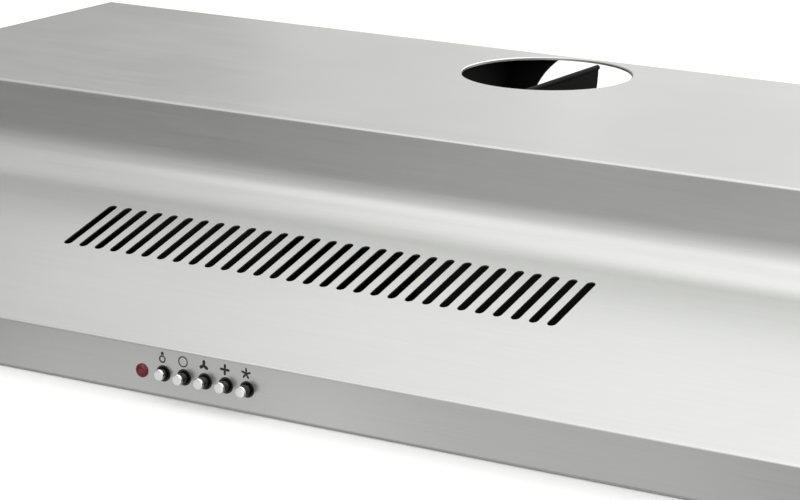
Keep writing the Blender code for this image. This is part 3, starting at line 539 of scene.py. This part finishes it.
def make_indicator():
    """The pilot light's dome, with a moulded step round its foot."""
    low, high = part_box("indicator_lens")
    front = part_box("canopy_shell")[0].y
    radius = (high.x - low.x) / 2
    middle = (low + high) / 2
    proud = front - low.y
    dome = [(0, proud), (radius * 0.30, proud * 0.985), (radius * 0.55, proud * 0.90),
            (radius * 0.74, proud * 0.74), (radius * 0.84, proud * 0.55),
            (radius * 0.86, proud * 0.42), (radius * 0.97, proud * 0.40), (radius, proud * 0.30),
            (radius, LENS_FOOT), (LENS_STEM_RADIUS, LENS_FOOT),
            (LENS_STEM_RADIUS, front - high.y), (0, front - high.y)]
    lens = piece("indicator_dome", turned("indicator_dome", dome), RED, "hood",
                 at(middle.x, front, middle.z) @ TO_FRONT)
    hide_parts("indicator_lens")


def make_duct_rim():
    """The top opening's edge, turned down into the hole."""
    top = CAD_BOX[1][2]
    centre = (0.0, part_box("back_panel")[1].y - DUCT_SETBACK)
    section = ((0.0004, -0.0004), (-0.0001, 0.0), (-0.0009, -0.0006), (-0.0010, -0.0021),
               (-0.0002, -0.0021), (0.0001, -0.0012), (0.0004, -0.0011))
    edge = [(DUCT_RADIUS + out, height) for out, height in section]
    piece("duct_opening_rim", turned("duct_opening_rim", edge, 160), STEEL, "hood",
          at(*centre, top))


def make_filter_weave():
    """Expanded aluminium: rows of slit strands pulled into diamonds, one sheet per filter."""
    shared = None
    for number in (1, 2, 3):
        name = f"filter_mesh_{number}"
        low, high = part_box(name)
        if shared is None:
            shared = expanded_sheet(high - low)
        weave = piece(f"filter_weave_{number}", shared, ALUMINIUM, f"filter_{number}",
                      at(*((low + high) / 2)))
        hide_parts(name)


def expanded_sheet(size):
    """A sheet of tilted strands that zigzag along X and meet at their bends."""
    columns = round(size.x / DIAMOND_LENGTH)
    columns += columns % 2
    rows = round(size.y / DIAMOND_WIDTH)
    step_x = size.x / columns
    step_y = size.y / rows
    half = STRAND_HALF
    lift = (size.z / 2 - STRAND_THICK) * STRAND_TILT
    edit = bmesh.new()
    for row in range(rows):
        previous = None
        for column in range(columns + 1):
            up = 1 if (column + row) % 2 else -1
            x = -size.x / 2 + column * step_x
            y = -size.y / 2 + (row + 0.5) * step_y + up * (step_y / 2 - half)
            z = up * lift
            corners = ((y - half, z - STRAND_THICK), (y + half, z - STRAND_THIN),
                       (y + half, z + STRAND_THICK), (y - half, z + STRAND_THIN))
            now = [edit.verts.new((x, *corner)) for corner in corners]
            if previous:
                for side in range(4):
                    edit.faces.new((previous[side], now[side],
                                    now[(side + 1) % 4], previous[(side + 1) % 4]))
            else:
                edit.faces.new(now)
            previous = now
        edit.faces.new(previous[::-1])
    bmesh.ops.recalc_face_normals(edit, faces=edit.faces)
    mesh = bpy.data.meshes.new("expanded_sheet")
    edit.to_mesh(mesh)
    edit.free()
    return mesh


# ---------------------------------------------------------------- stage, lights, camera

def one_sided(material):
    """Clear from behind, so that the hood's underside can be looked at through the floor."""
    nodes = material.node_tree.nodes
    links = material.node_tree.links
    facing = nodes.new("ShaderNodeNewGeometry")
    clear = nodes.new("ShaderNodeBsdfTransparent")
    mix = nodes.new("ShaderNodeMixShader")
    links.new(facing.outputs["Backfacing"], mix.inputs["Fac"])
    links.new(nodes["Principled BSDF"].outputs["BSDF"], mix.inputs[1])
    links.new(clear.outputs["BSDF"], mix.inputs[2])
    links.new(mix.outputs["Shader"], nodes["Material Output"].inputs["Surface"])
    return material


def make_stage():
    """A wide pale floor just under the hood."""
    paper = one_sided(plain("stage_paper", (0.93, 0.93, 0.925), 0.9))
    mesh = bpy.data.meshes.new("stage_sweep")
    edit = bmesh.new()
    bmesh.ops.create_grid(edit, x_segments=1, y_segments=1, size=FLOOR_HALF)
    edit.to_mesh(mesh)
    edit.free()
    floor = bpy.data.objects.new("stage_sweep", mesh)
    mesh.materials.append(paper)
    bpy.context.scene.collection.objects.link(floor)
    floor.location.z = CAD_BOX[0][2] - FLOOR_DROP
    floor.visible_glossy = False
    floor.visible_shadow = False


def area_light(name, place, target, size, power):
    data = bpy.data.lights.new(name, "AREA")
    data.shape = "RECTANGLE"
    data.size, data.size_y = size
    data.energy = power
    lamp = bpy.data.objects.new(name, data)
    lamp.location = place
    aim = Vector(target) - Vector(place)
    lamp.rotation_euler = aim.to_track_quat("-Z", "Y").to_euler()
    lamp.visible_camera = False
    bpy.context.scene.collection.objects.link(lamp)


def sky_glow(tree, azimuth, elevation, strength):
    """A soft round glow of the sky about one direction; azimuth counts from +Y towards +X."""
    across = math.radians(azimuth)
    up = math.radians(elevation)
    centre = (math.sin(across) * math.cos(up), math.cos(across) * math.cos(up), math.sin(up))
    nodes = tree.nodes
    where = nodes.new("ShaderNodeTexCoord")
    unit = nodes.new("ShaderNodeVectorMath")
    unit.operation = "NORMALIZE"
    dot = nodes.new("ShaderNodeVectorMath")
    dot.operation = "DOT_PRODUCT"
    dot.inputs[1].default_value = centre
    fall = nodes.new("ShaderNodeMath")
    fall.operation = "MULTIPLY_ADD"
    fall.inputs[1].default_value = GLOW_FOCUS
    fall.inputs[2].default_value = math.log(strength) - GLOW_FOCUS
    glow = nodes.new("ShaderNodeMath")
    glow.operation = "EXPONENT"
    tree.links.new(where.outputs["Generated"], unit.inputs[0])
    tree.links.new(unit.outputs["Vector"], dot.inputs[0])
    tree.links.new(dot.outputs["Value"], fall.inputs[0])
    tree.links.new(fall.outputs["Value"], glow.inputs[0])
    return glow.outputs["Value"]


def make_lights():
    """The sky with its glows, and the panels."""
    world = bpy.data.worlds.new("studio")
    bpy.context.scene.world = world
    world.use_nodes = True
    tree = world.node_tree
    total = None
    for glow in SKY_GLOWS:
        level = sky_glow(tree, *glow)
        add = tree.nodes.new("ShaderNodeMath")
        add.operation = "ADD"
        tree.links.new(level, add.inputs[0])
        if total is None:
            add.inputs[1].default_value = SKY_BASE
        else:
            tree.links.new(total, add.inputs[1])
        total = add.outputs["Value"]
    tree.links.new(total, tree.nodes["Background"].inputs["Color"])
    for name, place, target, size, power in PANELS:
        area_light(name, place, target, size, power)


def set_view():
    view = bpy.context.scene.view_settings
    view.view_transform = "Standard"
    view.look = "None"


def make_camera():
    data = bpy.data.cameras.new("camera")
    data.lens = CAMERA_LENS
    data.sensor_width = SENSOR_WIDTH
    data.clip_end = CLIP_END
    camera = bpy.data.objects.new("camera", data)
    turn = Matrix.Rotation(CAMERA_AZIMUTH, 4, "Z")
    tilt = Matrix.Rotation(math.pi / 2 - CAMERA_DOWN, 4, "X")
    roll = Matrix.Rotation(-CAMERA_ROLL, 4, "Z")
    camera.matrix_world = Matrix.Translation(CAMERA_PLACE) @ turn @ tilt @ roll
    bpy.context.scene.collection.objects.link(camera)
    bpy.context.scene.camera = camera


dress_nodes()
make_signs()
make_buttons()
make_indicator()
make_duct_rim()
make_filter_weave()
make_stage()
make_lights()
make_camera()
set_view()
